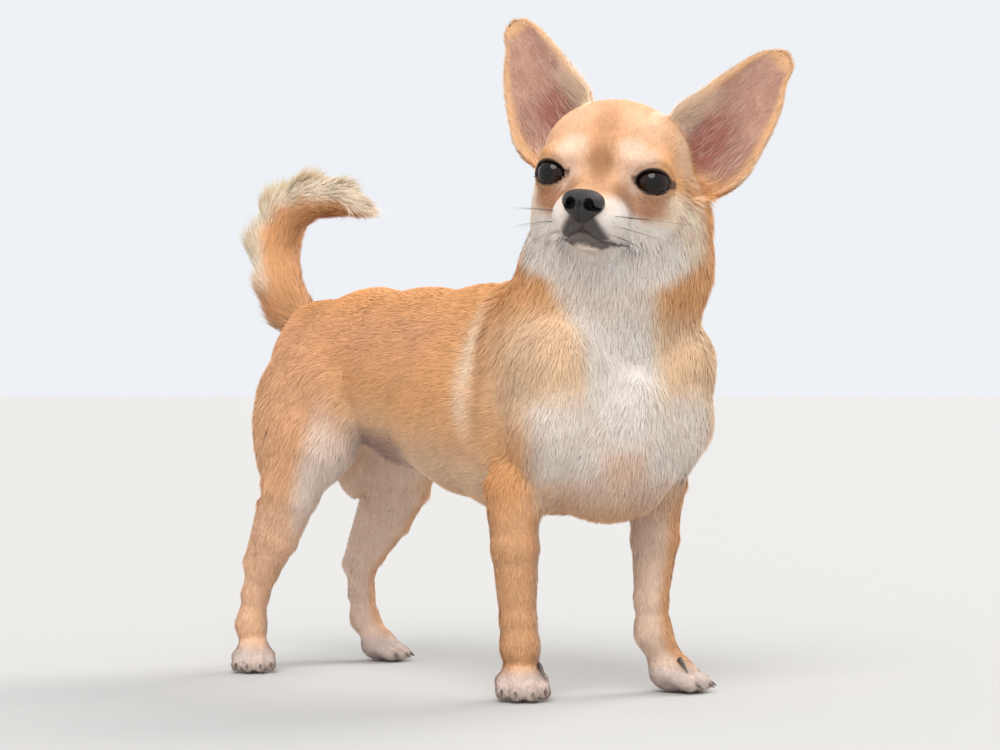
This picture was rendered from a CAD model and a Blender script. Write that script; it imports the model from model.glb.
import math
from itertools import product

import bpy
import numpy as np
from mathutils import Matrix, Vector


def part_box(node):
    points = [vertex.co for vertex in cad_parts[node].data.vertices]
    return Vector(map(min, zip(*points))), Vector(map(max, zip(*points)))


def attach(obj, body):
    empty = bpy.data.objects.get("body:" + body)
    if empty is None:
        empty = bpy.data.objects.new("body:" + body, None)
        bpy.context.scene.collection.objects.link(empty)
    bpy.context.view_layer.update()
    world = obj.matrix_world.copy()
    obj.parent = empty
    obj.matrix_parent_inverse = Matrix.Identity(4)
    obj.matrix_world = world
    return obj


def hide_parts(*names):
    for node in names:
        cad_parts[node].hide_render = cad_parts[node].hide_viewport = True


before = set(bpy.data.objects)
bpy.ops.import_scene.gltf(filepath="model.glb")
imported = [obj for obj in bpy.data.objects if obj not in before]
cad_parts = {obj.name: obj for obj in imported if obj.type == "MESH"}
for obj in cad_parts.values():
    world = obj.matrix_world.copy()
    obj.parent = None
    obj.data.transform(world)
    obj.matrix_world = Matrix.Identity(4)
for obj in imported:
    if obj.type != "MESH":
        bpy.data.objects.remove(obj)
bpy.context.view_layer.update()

# Sizes are in millimetres in the dog's own frame: it faces -Y, its left is +X and the floor is Z = 0.
# to_frame() turns them into metres round the CAD model's origin.

MM = 0.001
RIGHT, LEFT = -1, 1
SIDES = (RIGHT, LEFT)
SIDE_NAME = {RIGHT: "right", LEFT: "left"}
SEED = 20261125

CHEST_HEADING = 18
NECK_HEADING = 42
HEAD_HEADING = 60
HEAD_ROLL = 6.3

EYE_RADIUS = 9.2
EYE_PLACE = (28, 24.5, -4)
EYE_PROUD = 3.4
NOSE_PLACE = (60, 0, -17.5)

SKIN_BOX = ((-80, -115, -3), (95, 250, 310))
SKIN_CELL = 2.1
SKIN_SHADE = 0.9
EAR_CELL = 1.0
EAR_MARGIN = 32
FAR = 1e3
CORNERS = np.array([(i & 1, i >> 1 & 1, i >> 2 & 1) for i in range(8)])


# Frames and soft forms

class Axes:
    """A frame with forward, left and up axes. Heading turns from -Y towards -X."""

    def __init__(self, origin, heading=0, roll=0):
        h, r = math.radians(heading), math.radians(roll)
        forward = np.array([-math.sin(h), -math.cos(h), 0.0])
        level = np.cross([0, 0, 1.0], forward)
        up = np.array([0, 0, 1.0])
        self.origin = np.array(origin, float)
        self.rows = np.stack([forward, level * math.cos(r) - up * math.sin(r),
                              up * math.cos(r) + level * math.sin(r)])

    def out(self, q):
        return self.origin + np.asarray(q, float) @ self.rows

    def turn(self, q):
        return np.asarray(q, float) @ self.rows

    def into(self, p):
        return (p - self.origin) @ self.rows.T


CHEST = Axes((3, -15, 0), CHEST_HEADING)
NECK = Axes((0, 0, 0), NECK_HEADING)
HEAD = Axes((0, -27, 249.5), HEAD_HEADING, HEAD_ROLL)


def unit(v):
    v = np.asarray(v, float)
    return v / np.maximum(np.linalg.norm(v, axis=-1, keepdims=True), 1e-12)


def limb_axes(along, side):
    """Axes to one side, across and along a rod."""
    t = unit(along)
    s = unit(np.asarray(side, float) - t * np.dot(side, t))
    return np.stack([s, np.cross(t, s), t])


def ellipsoid(q, radii):
    """About the distance to an ellipsoid, negative inside it."""
    near = np.sqrt(((q / radii) ** 2).sum(-1))
    slope = np.sqrt(((q / radii ** 2) ** 2).sum(-1))
    return near * (near - 1) / np.maximum(slope, 1e-9)


class Blob:
    """A turned ellipsoid. Its hair lies towards lie."""

    def __init__(self, centre, radii, axes=None, blend=10, lie=None, part="torso"):
        self.centre = np.array(centre, float)
        self.radii = np.array(radii, float)
        self.axes = np.eye(3) if axes is None else axes
        self.blend, self.part = blend, part
        self.lie = None if lie is None else unit(lie)
        self.middle, self.reach = self.centre, self.radii.max()

    def distance(self, p):
        return ellipsoid((p - self.centre) @ self.axes.T, self.radii)


class Limb:
    """A rod with round ends that tapers from one oval to another. Its hair lies along it."""

    def __init__(self, start, end, start_size, end_size, side=(1, 0, 0), blend=10, lie=None, part="torso"):
        self.start, self.end = np.array(start, float), np.array(end, float)
        along = self.end - self.start
        self.start_size, self.end_size = np.array(start_size, float), np.array(end_size, float)
        self.span = np.linalg.norm(along)
        self.axes = limb_axes(along, side)
        self.blend, self.part = blend, part
        self.lie = unit(along) if lie is None else unit(lie)
        self.middle = (self.start + self.end) / 2
        self.reach = self.span / 2 + max(*start_size, *end_size)

    def distance(self, p):
        q = (p - self.start) @ self.axes.T
        t = np.clip(q[..., 2] / self.span, 0, 1)
        size = self.start_size + (self.end_size - self.start_size) * t[..., None]
        radii = np.stack([size[..., 0], size[..., 1], size.min(-1)], -1)
        q = np.stack([q[..., 0], q[..., 1], q[..., 2] - t * self.span], -1)
        return ellipsoid(q, radii)


def chain(stations, side, blend, part, lie=None, join=2.5):
    """Links from station to station. Only the first blends widely, so that the joins don't swell."""
    blends = [blend] + [join] * (len(stations) - 2)
    return [Limb(start, end, start_size, end_size, side, width, lie, part)
            for (start, start_size), (end, end_size), width in zip(stations, stations[1:], blends)]


def smooth_min(a, b, blend):
    overlap = np.maximum(blend - np.abs(a - b), 0) / blend
    return np.minimum(a, b) - overlap * overlap * blend / 4


def smooth_max(a, b, blend):
    return -smooth_min(-a, -b, blend)


def field(forms, p):
    d = np.full(p.shape[:-1], FAR)
    for form in forms:
        d = smooth_min(d, form.distance(p), form.blend)
    return d


def step(x, low, high):
    t = np.clip((x - low) / (high - low), 0, 1)
    return t * t * (3 - 2 * t)


def band(x, low, full, end, gone):
    """0 up to low, 1 from full to end, and 0 again past gone."""
    return step(x, low, full) * (1 - step(x, end, gone))


def hump(x, middle, half):
    return np.exp(-((x - middle) / half) ** 2)


# Anatomy: the same forms as in the solids, each with the way its hair lies

def torso_forms():
    spine = [((0, 191, 157), (23, 25)), ((0, 178, 159), (31, 34)), ((0, 140, 161), (37, 37.5)),
             ((0, 103, 152.5), (40, 46)), ((0, 66, 146), (43, 51)), ((1, 34, 141), (44, 54)),
             ((2, 8, 138), (43, 51)), ((-3, -14, 132), (36, 43))]
    back = (0, 1, -0.25)
    down_chest = CHEST.turn((0.1, 0, -1))
    return chain(spine, (1, 0, 0), 8, "torso", back, 6) + [
        Blob((2, 40, 176), (22, 34, 20), None, 18, (0, 1, -0.1)),
        Blob(CHEST.out((14, 0, 128)), (26, 33, 34), CHEST.rows, 16, down_chest, "chest"),
        Blob(CHEST.out((12, 0, 108)), (22, 24, 21), CHEST.rows, 16, CHEST.turn((-0.5, 0, -1)), "chest"),
    ]


def shoulder_forms(side):
    place = lambda forward, out, up: CHEST.out((forward, side * out, up))
    sideways = CHEST.rows[1]
    lie = CHEST.turn((-0.35, 0, -1))
    return [
        Blob(place(11, 29, 160), (26, 23.5, 27), CHEST.rows, 14, CHEST.turn((-0.15, 0, -1)), "shoulder"),
        Limb(place(-24, 30, 168), place(14, 33, 132), (14, 24), (15, 21), sideways, 14, lie, "shoulder"),
        Limb(place(12, 33, 132), place(-10, 34, 104), (14, 20), (13, 18), sideways, 12, lie, "shoulder"),
    ]


def neck_forms():
    stations = [((5, 5, 165), (44, 41)), ((6, -13, 188), (42, 37)),
                ((6.5, -25, 208), (42, 34)), ((5.5, -29, 228), (40.5, 32))]
    return chain(stations, NECK.rows[1], 14, "neck", (0.05, 0.25, -1), 12)


def head_forms():
    def lump(place, radii, blend, lie, part="head"):
        return Blob(HEAD.out(place), radii, HEAD.rows, blend, HEAD.turn(lie), part)

    def bridge(start, end, start_size, end_size, blend, lie):
        return Limb(HEAD.out(start), HEAD.out(end), start_size, end_size, HEAD.rows[1], blend,
                    HEAD.turn(lie), "muzzle")

    forms = [lump((-7, 0, 3), (39, 35.5, 32.5), 8, (-1, 0, 0.25)),
             lump((8, 0, 10), (26, 31, 22), 10, (-1, 0, 0.25))]
    for side in SIDES:
        forms += [lump((4, side * 21.5, -15), (27, 14.5, 19), 12, (-1, side * 0.2, -0.35)),
                  lump((26, side * 20, 5), (9, 11, 6), 8, (-0.6, side * 0.35, 1)),
                  lump((44, side * 8.5, -23), (14, 9.5, 9.5), 6, (-1, side * 0.5, -0.25), "muzzle")]
    return forms + [bridge((24, 0, -14), (53, 0, -19.5), (19, 13), (9.6, 8), 9, (-1, 0, 0.2)),
                    bridge((18, 0, -30), (51, 0, -33), (16, 9), (8, 5.5), 6, (-1, 0, -0.3))]


TAIL_PATH = [((0, 190, 172), 10), ((0, 206, 186), 10.5), ((0, 218, 203), 13), ((0, 223, 222), 14.5),
             ((0, 215.5, 238), 14), ((0, 199, 246.5), 12.5), ((0, 176, 247), 10.5), ((0, 147, 239), 4.5)]


def tail_forms():
    return chain([(place, (r, r)) for place, r in TAIL_PATH], (1, 0, 0), 6, "tail")


# For each leg: stations with their half widths, the point of the hock and the paw's axes
FRONT_LEG = {
    RIGHT: ([((-37.5, 6, 100), (12.5, 15)), ((-38.3, 3, 72), (11, 12)),
             ((-37.8, 1.5, 38), (8.6, 9.2)), ((-37, 1, 26), (8.6, 9))], Axes((-36.6, 0, 0), 42)),
    LEFT: ([((37, -20, 100), (12.5, 15)), ((34, -21.5, 75), (11, 12.5)),
            ((31.8, -21, 45), (8.2, 8.8)), ((32.5, -21.5, 29), (7.8, 8.4))], Axes((40.5, -28.5, 0), -34)),
}
HIND_LEG = {
    RIGHT: ([((-33, 157, 122), (17, 27)), ((-36.5, 168, 96), (13, 19.5)),
             ((-38, 177, 71), (9.5, 13.5)), ((-38.5, 188, 54), (7.8, 10.5)),
             ((-39.5, 192.5, 40), (7, 7.8)), ((-41, 194.5, 24), (6.8, 7.4))],
            (-38.5, 194.5, 56), Axes((-44, 189, 0), 40)),
    LEFT: ([((33, 156, 122), (17, 27)), ((36.5, 164, 99), (13.5, 22)), ((38, 175, 80), (11, 16.5)),
            ((38.5, 190, 60), (8.3, 11)), ((38.5, 197, 50), (7.6, 9.5)), ((39, 197, 36), (6.8, 7.6)),
            ((39.5, 195, 22), (6.6, 7.2))],
           (38.5, 203.5, 52), Axes((41, 183, 0), -30)),
}
# For each toe: how far outwards, how far ahead, and its radius
TOES = [(-9.2, 5, 4.6), (-3.4, 9.5, 5), (3.4, 9.5, 5), (9.2, 5, 4.6)]
PAW_SCALE = {"front": 1, "hind": 0.88}
WRIST = {"front": 8.2, "hind": 7.0}


def paw_forms(axes, wrist, kind):
    scale, r = PAW_SCALE[kind], WRIST[kind]
    at = lambda *q: axes.out(np.array(q) * scale)
    ahead = axes.turn((1, 0, -0.45))
    level = axes.rows[1]
    down = axes.turn((0.4, 0, -1))
    forms = [Limb(wrist, at(-4, 0, 14), (r, r), (r + 0.5, r + 0.5), level, 6, down, "paw"),
             Blob(at(0, 0, 8), np.array((12, 11, 8.8)) * scale, axes.rows, 6, ahead, "paw")]
    for out, reach, radius in TOES:
        root, tip = (radius + 0.3) * scale, (radius - 0.2) * scale
        forms.append(Limb(at(reach - 6, out * 0.9, 8.5), at(reach + 3.5, out, 4.4),
                          (root, root), (tip, tip), level, 1.6, ahead, "paw"))
    return forms


def front_leg_forms(side):
    stations, axes = FRONT_LEG[side]
    return chain(stations, (1, 0, 0), 8, "leg") + paw_forms(axes, stations[-1][0], "front")


def hind_leg_forms(side):
    stations, hock, axes = HIND_LEG[side]
    lean = limb_axes((0, -0.35, -0.9), (1, 0, 0))
    down = (0, 0.4, -1)
    return [
        Blob((side * 29, 160, 134), (18, 33, 36), lean, 14, down, "thigh"),
        Blob((side * 26, 186, 122), (15, 16, 34), None, 14, down, "thigh"),
        *chain(stations, (1, 0, 0), 8, "leg"),
        Limb((side * 36, 186, 86), hock, (6, 7), (4.5, 5.5), (1, 0, 0), 6, None, "leg"),
        *paw_forms(axes, stations[-1][0], "hind"),
    ]


# For each ear: root, tip and look of the cup in the head's axes. The outline's columns are share of the
# length, half width on the outer side and half width towards the head's middle.
EAR_OUTLINE = np.array([(-0.12, 14, 5), (0, 22.9, 9), (0.2, 26.7, 19.4), (0.42, 23.5, 17),
                        (0.65, 17.9, 14), (0.85, 9.6, 9.9), (0.95, 6.6, 5.4), (1, 1.2, 0.6)])
EAR = {RIGHT: ((-13, -24.6, 14.8), (-22, -64.1, 70.9), (1, -0.25, 0)),
       LEFT: ((-13, 28.2, 8.9), (-22, 71.5, 66.1), (1, 0.25, 0))}


def outline_at(table, column, v):
    """A smooth curve through one column of a table, against its first column."""
    x, y = table[:, 0], table[:, column]
    slope = np.empty(len(x))
    slope[1:-1] = (y[2:] - y[:-2]) / (x[2:] - x[:-2])
    slope[0], slope[-1] = (y[1] - y[0]) / (x[1] - x[0]), (y[-1] - y[-2]) / (x[-1] - x[-2])
    v = np.clip(v, x[0], x[-1])
    i = np.clip(np.searchsorted(x, v, side="right") - 1, 0, len(x) - 2)
    h = x[i + 1] - x[i]
    t = (v - x[i]) / h
    return ((2 * t ** 3 - 3 * t ** 2 + 1) * y[i] + (t ** 3 - 2 * t ** 2 + t) * h * slope[i]
            + (3 * t ** 2 - 2 * t ** 3) * y[i + 1] + (t ** 3 - t ** 2) * h * slope[i + 1])


class Ear:
    """A cupped shell, thin at its rim. Its axes are towards the head's middle, along and out of the cup."""

    blend, part = 7, "ear"

    def __init__(self, side):
        root, tip, face = EAR[side]
        self.side = side
        self.base = HEAD.out(root)
        rise = HEAD.out(tip) - self.base
        self.span = np.linalg.norm(rise)
        along = unit(rise)
        turned = HEAD.turn(face)
        front = unit(turned - along * np.dot(turned, along))
        self.axes = np.stack([np.cross(along, front) * -side, along, front])
        self.lie = along
        self.middle, self.reach = self.base + rise / 2, self.span * 0.75

    def place(self, p):
        """Share of the length, share across from -1 to 1, height over the cup's middle surface."""
        q = (p - self.base) @ self.axes.T
        v = q[..., 1] / self.span
        vc = np.clip(v, -0.12, 1)
        outer = outline_at(EAR_OUTLINE, 1, vc)
        inner = outline_at(EAR_OUTLINE, 2, vc)
        half = np.maximum((outer + inner) / 2, 0.5)
        s = (q[..., 0] - (inner - outer) / 2) / half
        cup = (3.5 + 9 * np.clip(0.75 - vc, 0, 1)) * np.sqrt(np.clip(1.12 - vc, 0.1, 1))
        height = (q[..., 2] - cup * s * s + cup * 0.4) / np.sqrt(1 + np.minimum(2 * cup * s / half, 3) ** 2)
        return v, s, height, half

    def distance(self, p):
        v, s, height, half = self.place(p)
        thick = 1.25 + 1.5 * np.clip(0.3 - v, 0, 1)
        shell = smooth_max(np.abs(height) - thick, (np.abs(s) - 1) * half * 0.85, 1.6)
        shell = smooth_max(shell, (v - 1) * self.span, 1.6)
        return smooth_max(shell, -v * self.span - 8, 2)


EARS = {side: Ear(side) for side in SIDES}
HEAD_FORMS = head_forms()
BODY = (torso_forms() + shoulder_forms(RIGHT) + shoulder_forms(LEFT) + neck_forms() + HEAD_FORMS
        + tail_forms() + [form for side in SIDES for form in front_leg_forms(side) + hind_leg_forms(side)]
        + list(EARS.values()))


def surface_along(start, direction):
    """Where a line from inside the head comes out."""
    reach = 0.0
    for _ in range(60):
        reach -= float(field(HEAD_FORMS, start + direction * reach)) * 0.7
    return start + direction * reach


def eye_axes(side):
    """Centre and look of an eyeball, with axes towards the dog's left, up and out."""
    forward, out, up = EYE_PLACE
    look = HEAD.turn(unit((1, side * 0.32, 0.05)))
    start = HEAD.out((forward - 14, side * (out - 4.5), up))
    centre = surface_along(start, look) + look * (EYE_PROUD - EYE_RADIUS)
    left = unit(HEAD.rows[1] - look * np.dot(HEAD.rows[1], look))
    return centre, np.stack([left, np.cross(look, left), look])


EYES = {side: eye_axes(side) for side in SIDES}
low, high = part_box("eye_right")
OFFSET = (np.array(low) + np.array(high)) / 2 - EYES[RIGHT][0] * MM


def to_frame(p):
    return np.asarray(p) * MM + OFFSET


# Camera: level, at the photo's horizon height, with a long lens

CAMERA_PLACE = (-984.9, -933.5, 154.0)
CAMERA_AZIMUTH = -45
FOCAL_PIXELS = 2800
PHOTO_WIDTH = 1000
SENSOR = 36

camera_data = bpy.data.cameras.new("photo_camera")
camera_data.sensor_width = SENSOR
camera_data.lens = FOCAL_PIXELS / PHOTO_WIDTH * SENSOR
camera_data.clip_end = 20
camera = bpy.data.objects.new("photo_camera", camera_data)
camera.location = to_frame(CAMERA_PLACE)
camera.rotation_euler = (math.radians(90), 0, math.radians(CAMERA_AZIMUTH))
bpy.context.scene.collection.objects.link(camera)
bpy.context.scene.camera = camera


# The skin: the forms' surface, sunk by the coat's depth, with the face's folds

FACE_REACH = 75
COAT_DEPTH = dict(body=1.5, withers=0.9, face=0.6, legs=0.7, tail=4.8)
MOUTH = dict(middle=-29.2, fall=4.2, rise=1.0, corner=24, groove=0.8)
LID = dict(thick=1.0, wide=7.3, high=5.2, soft=0.7, inner_corner=0.8, behind=1.1)


def mouth_height(left):
    """Height of the mouth line in the head's axes: highest under the nose, low beside it."""
    out = np.abs(left)
    return MOUTH["middle"] - MOUTH["fall"] * step(out, 0, 9) + MOUTH["rise"] * step(out, 11, 20)


def coat_depth(p):
    """How far the skin lies under the tips of the coat."""
    y, z = p[..., 1], p[..., 2]
    face = step(HEAD.into(p)[..., 0], -30, 10) * step(z, 200, 218)
    legs = step(z, 100, 70)
    tail_root = step(y, 180, 200) * step(z, 185, 205)
    curl = step(z, 205, 225) * step(y, 110, 130)
    depth = COAT_DEPTH["body"] + COAT_DEPTH["withers"] * step(z, 150, 185) * step(y, 60, 20)
    for name, share in (("face", face), ("legs", legs), ("tail", np.clip(tail_root + curl, 0, 1))):
        depth = depth * (1 - share) + COAT_DEPTH[name] * share
    return depth


def flesh_distance(forms, p):
    """The distance to the skin without the ears, with lids, lips and the groove under the nose."""
    d = field([form for form in forms if form.part != "ear"], p) + coat_depth(p)
    if np.all(np.linalg.norm(p - HEAD.out((18, 0, -8)), axis=-1) >= FACE_REACH):
        return d
    for side in SIDES:
        centre, axes = EYES[side]
        e = (p - centre) @ axes.T
        from_centre = np.linalg.norm(e, axis=-1)
        lid = smooth_min(d, from_centre - EYE_RADIUS - LID["thick"], 3.0)
        d = np.where(e[..., 2] < -2, d, lid)
        wide = np.where(e[..., 0] * side < 0, LID["wide"] + LID["inner_corner"], LID["wide"])
        almond = (np.sqrt((e[..., 0] / wide) ** 2 + (e[..., 1] / LID["high"]) ** 2) - 1) * LID["high"]
        d = smooth_max(d, -np.maximum(almond, -e[..., 2]), LID["soft"])
        d = np.maximum(d, EYE_RADIUS - LID["behind"] - from_centre)
    forward, left, up = np.moveaxis(HEAD.into(p), -1, 0)
    lips = np.hypot(up - mouth_height(left), np.minimum(d, 0) * 0.8) - MOUTH["groove"]
    lips += 3 * step(np.abs(left), MOUTH["corner"] - 4, MOUTH["corner"] + 2) + 5 * step(forward, 28, 20)
    d = smooth_max(d, -lips, 0.8)
    philtrum = np.hypot(left, np.minimum(d, 0)) - 0.7
    philtrum += 4 * step(forward, 52, 48) + 3 * step(up, -22, -19) + 3 * step(up, -30, -32)
    return smooth_max(d, -philtrum, 0.6)


def ear_skin(ear):
    """The distance to one ear's skin, which flows into the head's and closes inside it."""
    def distance(forms, p):
        gap = ear.distance(p)
        d = smooth_min(flesh_distance(forms, p), gap, ear.blend) + 0.4 * step(gap, 2.5, 6)
        return smooth_max(d, gap - 6, 1)
    return distance


def near_forms(centre, radius):
    return [form for form in BODY
            if np.linalg.norm(form.middle - centre) < form.reach + radius + form.blend + 8]


def sample_blocks(low, high, cell, distance, ear=None, size=8):
    """The distance on a grid, worked out only in the blocks that the surface passes."""
    low = np.array(low, float)
    count = np.ceil((np.array(high) - low) / (cell * size)).astype(int)
    grid = np.full(count * size + 1, FAR, np.float32)
    corners = np.stack(np.meshgrid(*[np.arange(n) for n in count], indexing="ij"), -1).reshape(-1, 3)
    centres = low + (corners + 0.5) * cell * size
    reach = cell * size * math.sqrt(3) / 2
    rough = field(BODY, centres)
    slack = reach * 1.7 + 6
    if ear is not None:
        rough = np.maximum(rough, ear.distance(centres) - 6)
        slack = reach * 1.2 + 3
    offsets = np.stack(np.meshgrid(*[np.arange(size + 1)] * 3, indexing="ij"), -1).reshape(-1, 3)
    for corner, centre, d in zip(corners, centres, rough):
        if d > slack:
            continue
        first = corner * size
        block = tuple(slice(a, a + size + 1) for a in first)
        if d < -slack - 6:
            grid[block] = -FAR
            continue
        points = low + (first + offsets) * cell
        forms = near_forms(centre, reach)
        if forms:
            grid[block] = distance(forms, points).reshape((size + 1,) * 3)
    return grid, low


def surface_nets(grid, low, cell):
    """One vertex in each cell that the surface crosses, one quad round each crossed edge."""
    inside = grid < 0
    shape = np.array(grid.shape)
    total = sum(inside[a:shape[0] - 1 + a, b:shape[1] - 1 + b, c:shape[2] - 1 + c].astype(np.int8)
                for a, b, c in CORNERS)
    active = (total > 0) & (total < 8)
    cells = np.argwhere(active)
    index = np.full(active.shape, -1, np.int64)
    index[active] = np.arange(len(cells))
    values = np.stack([grid[tuple((cells + c).T)] for c in CORNERS], 1).astype(float)
    place, count = np.zeros((len(cells), 3)), np.zeros(len(cells))
    for a in range(8):
        for axis in range(3):
            b = a | 1 << axis
            if a == b:
                continue
            va, vb = values[:, a], values[:, b]
            crossed = (va < 0) != (vb < 0)
            t = np.where(crossed, va / np.where(crossed, va - vb, 1), 0)
            point = CORNERS[a] + (CORNERS[b] - CORNERS[a]) * t[:, None]
            place += np.where(crossed[:, None], point, 0)
            count += crossed
    vertices = low + (cells + place / count[:, None]) * cell
    quads = []
    for axis in range(3):
        ahead = np.eye(3, dtype=int)[axis]
        here = inside[tuple(slice(0, shape[i] - ahead[i]) for i in range(3))]
        there = inside[tuple(slice(ahead[i], None) for i in range(3))]
        edges = np.argwhere(here != there)
        u, v = (axis + 1) % 3, (axis + 2) % 3
        across = edges[:, [u, v]]
        edges = edges[np.all((across > 0) & (across < shape[[u, v]] - 1), axis=1)]
        around = []
        for du, dv in ((1, 1), (0, 1), (0, 0), (1, 0)):
            cell_at = edges.copy()
            cell_at[:, u] -= du
            cell_at[:, v] -= dv
            around.append(index[tuple(cell_at.T)])
        quad = np.stack(around, 1)
        outward = here[tuple(edges.T)]
        quad[~outward] = quad[~outward][:, ::-1]
        quads.append(quad)
    return vertices, np.concatenate(quads)


def split_quads(vertices, quads):
    a, b, c, d = (vertices[quads[:, i]] for i in range(4))
    short = np.linalg.norm(a - c, axis=1) < np.linalg.norm(b - d, axis=1)
    first = np.where(short[:, None], quads[:, [0, 1, 2]], quads[:, [1, 2, 3]])
    second = np.where(short[:, None], quads[:, [0, 2, 3]], quads[:, [1, 3, 0]])
    return np.concatenate([first, second])


def refine(vertices, triangles, chosen):
    """Splits the chosen triangles in four and their neighbours to match."""
    edges = np.sort(triangles[:, [[0, 1], [1, 2], [2, 0]]], axis=2)
    keys = edges[..., 0] * len(vertices) + edges[..., 1]
    split = np.unique(keys[chosen])
    middle = (vertices[split // len(vertices)] + vertices[split % len(vertices)]) / 2
    where = np.clip(np.searchsorted(split, keys), 0, len(split) - 1)
    found = split[where] == keys
    mid = np.where(found, where + len(vertices), -1)
    count = found.sum(1)
    pieces = [triangles[count == 0]]

    def add(chosen, points, *patterns):
        pieces.extend(points[chosen][:, pattern] for pattern in patterns)

    # The columns of points are the triangle's corners and then the middles of its edges
    for shift in range(3):
        points = np.concatenate([np.roll(triangles, -shift, axis=1), np.roll(mid, -shift, axis=1)], 1)
        f = np.roll(found, -shift, axis=1)
        add((count == 1) & f[:, 0], points, [0, 3, 2], [3, 1, 2])
        add((count == 2) & f[:, 0] & f[:, 1], points, [3, 1, 4], [0, 3, 4], [0, 4, 2])
    points = np.concatenate([triangles, mid], 1)
    add(count == 3, points, [0, 3, 5], [3, 1, 4], [5, 4, 2], [3, 4, 5])
    return np.concatenate([vertices, middle]), np.concatenate(pieces)


def by_blocks(vertices, block=24.0):
    """Groups of vertices that lie in one block, with the forms that reach it."""
    keys = np.floor(vertices / block).astype(int)
    order = np.lexsort(keys.T)
    breaks = np.flatnonzero(np.any(np.diff(keys[order], axis=0), axis=1)) + 1
    for group in np.split(order, breaks):
        centre = (keys[group[0]] + 0.5) * block
        yield group, near_forms(centre, block * math.sqrt(3) / 2)


def slope_of(distance, p, reach):
    """How fast a distance grows along each axis."""
    return np.stack([(distance(p + reach * axis) - distance(p - reach * axis)) / (2 * reach)
                     for axis in np.eye(3)], -1)


def moved(distance, p, reach, limit):
    """Points moved along the slope towards a surface, by no more than a limit."""
    slope = slope_of(distance, p, reach)
    move = -distance(p) / np.maximum((slope ** 2).sum(-1), 0.3)
    return p + slope * np.clip(move, -limit, limit)[:, None]


def settle(vertices, distance, limit=0.8, rounds=2, reach=0.15):
    """Moves vertices onto the skin and returns them with their normals."""
    vertices, normals = vertices.copy(), np.zeros_like(vertices)
    for group, forms in by_blocks(vertices):
        here = lambda p: distance(forms, p)
        p = vertices[group]
        for _ in range(rounds):
            p = moved(here, p, reach, limit)
        vertices[group] = p
        normals[group] = unit(slope_of(here, p, reach))
    return vertices, normals


def make_flesh():
    """The skin without the ears, finer on the face and finest round the eyes and the mouth."""
    grid, origin = sample_blocks(*SKIN_BOX, SKIN_CELL, flesh_distance)
    vertices, quads = surface_nets(grid, origin, SKIN_CELL)
    triangles = split_quads(vertices, quads)
    middle = HEAD.into(vertices[triangles].mean(1))
    face = (middle[:, 0] > 12) & (np.abs(middle[:, 1]) < 44) & (middle[:, 2] > -46) & (middle[:, 2] < 16)
    vertices, triangles = refine(vertices, triangles, face)
    vertices, _ = settle(vertices, flesh_distance)
    middle = vertices[triangles].mean(1)
    close = np.zeros(len(triangles), bool)
    for side in SIDES:
        close |= np.abs(np.linalg.norm(middle - EYES[side][0], axis=1) - EYE_RADIUS - 1) < 3.2
    q = HEAD.into(middle)
    close |= (q[:, 0] > 40) & (np.abs(q[:, 2] + 34) < 6)
    vertices, triangles = refine(vertices, triangles, close)
    vertices, normals = settle(vertices, flesh_distance, 0.4)
    return vertices, triangles, normals, np.zeros(len(triangles), bool)


def make_ear(ear):
    """One ear as a closed shell that ends inside the head."""
    ends = np.stack([ear.base, ear.base + ear.axes[1] * ear.span])
    distance = ear_skin(ear)
    low, high = ends.min(0) - EAR_MARGIN, ends.max(0) + EAR_MARGIN
    grid, origin = sample_blocks(low, high, EAR_CELL, distance, ear)
    vertices, quads = surface_nets(grid, origin, EAR_CELL)
    triangles = split_quads(vertices, quads)
    vertices, normals = settle(vertices, distance, 0.4)
    middle = vertices[triangles].mean(1)
    hidden = np.zeros(len(triangles), bool)
    for group, forms in by_blocks(middle):
        hidden[group] = flesh_distance(forms, middle[group]) < -0.3
    return vertices, triangles, normals, hidden


def make_skin():
    """Vertices, triangles, normals, and which triangles are hidden in the head."""
    vertices, triangles, normals, hidden = zip(make_flesh(), *[make_ear(ear) for ear in EARS.values()])
    firsts = np.cumsum([0] + [len(shell) for shell in vertices])
    triangles = [shell + first for shell, first in zip(triangles, firsts)]
    return [np.concatenate(shells) for shells in (vertices, triangles, normals, hidden)]


skin_vertices, skin_triangles, skin_normals, skin_hidden = make_skin()


def new_piece(name, vertices, faces):
    mesh = bpy.data.meshes.new(name)
    vertices = to_frame(vertices)
    mesh.vertices.add(len(vertices))
    mesh.vertices.foreach_set("co", vertices.astype(np.float32).ravel())
    mesh.loops.add(faces.size)
    mesh.loops.foreach_set("vertex_index", faces.astype(np.int32).ravel())
    mesh.polygons.add(len(faces))
    mesh.polygons.foreach_set("loop_start", np.arange(0, faces.size, faces.shape[1], dtype=np.int32))
    mesh.update(calc_edges=True)
    mesh.validate()
    mesh.polygons.foreach_set("use_smooth", np.ones(len(mesh.polygons), bool))
    piece = bpy.data.objects.new(name, mesh)
    bpy.context.scene.collection.objects.link(piece)
    return piece


# Smooth noise and blending

def noise(p, size, seed=0):
    """Smooth noise from -1 to 1 that changes over the given size."""
    q = p / size + seed * 7.31
    cell = np.floor(q).astype(np.int64)
    f = q - cell
    f = f * f * (3 - 2 * f)
    total = np.zeros(p.shape[:-1])
    for corner in CORNERS:
        c = cell + corner
        h = (c[..., 0] * 73856093) ^ (c[..., 1] * 19349663) ^ (c[..., 2] * 83492791) ^ (seed * 2654435)
        h = (h ^ (h >> 13)) * 1274126177
        value = ((h ^ (h >> 16)) & 0xFFFF) / 32767.5 - 1
        total += value * np.prod(np.where(corner == 1, f, 1 - f), -1)
    return total


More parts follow.
